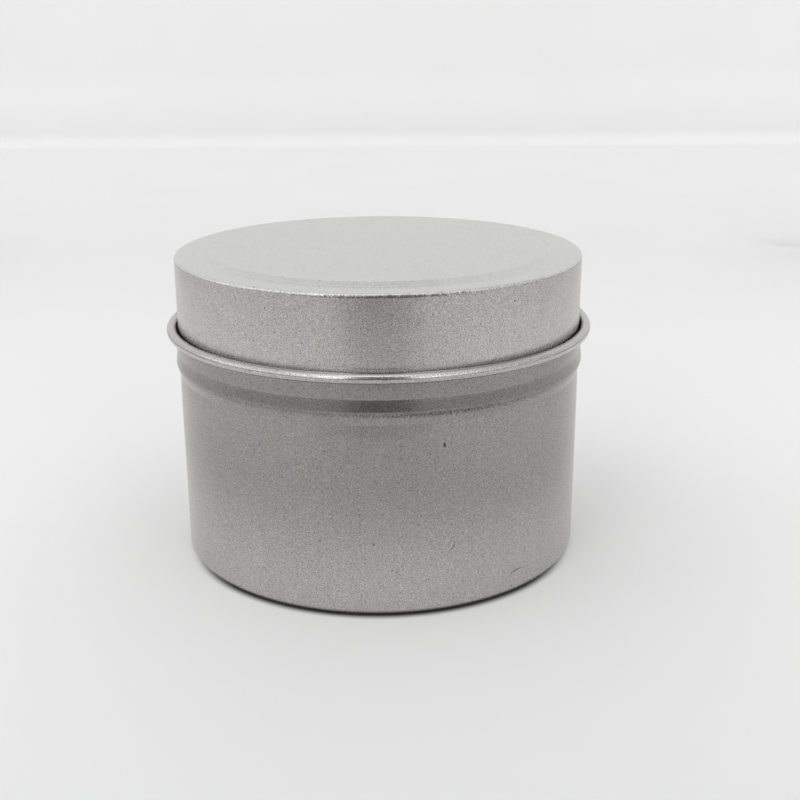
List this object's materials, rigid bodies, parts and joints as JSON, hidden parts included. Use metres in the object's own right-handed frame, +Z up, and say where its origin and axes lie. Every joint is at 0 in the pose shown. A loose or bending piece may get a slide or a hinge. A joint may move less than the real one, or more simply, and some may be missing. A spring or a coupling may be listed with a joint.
{
  "type": "candle tin",
  "caption": "Round drawn tinplate candle tin with a curled rim and a plug-in slip lid that lifts straight off.",
  "frame": {"origin": "centre of the tin's footprint, on the surface that it stands on", "axes": "+Z up along the tin's axis, with -Y towards the viewer; the tin is round about Z"},
  "size_m": [0.0844, 0.0844, 0.0606],
  "materials": {
    "body_tinplate": "satin bright tinplate with a fine matt grain, drawn streaks and light scuffs",
    "lid_tinplate": "satin bright tinplate with a fine matt grain"
  },
  "bodies": {
    "body": {"tin_body": "body_tinplate"},
    "lid": {"lid": "lid_tinplate"}
  },
  "joints": [
    {"name": "lid_lift", "type": "slide", "parent": "body", "child": "lid", "axis": [0, 0, 1], "range_m": [0, 0.04]}
  ]
}
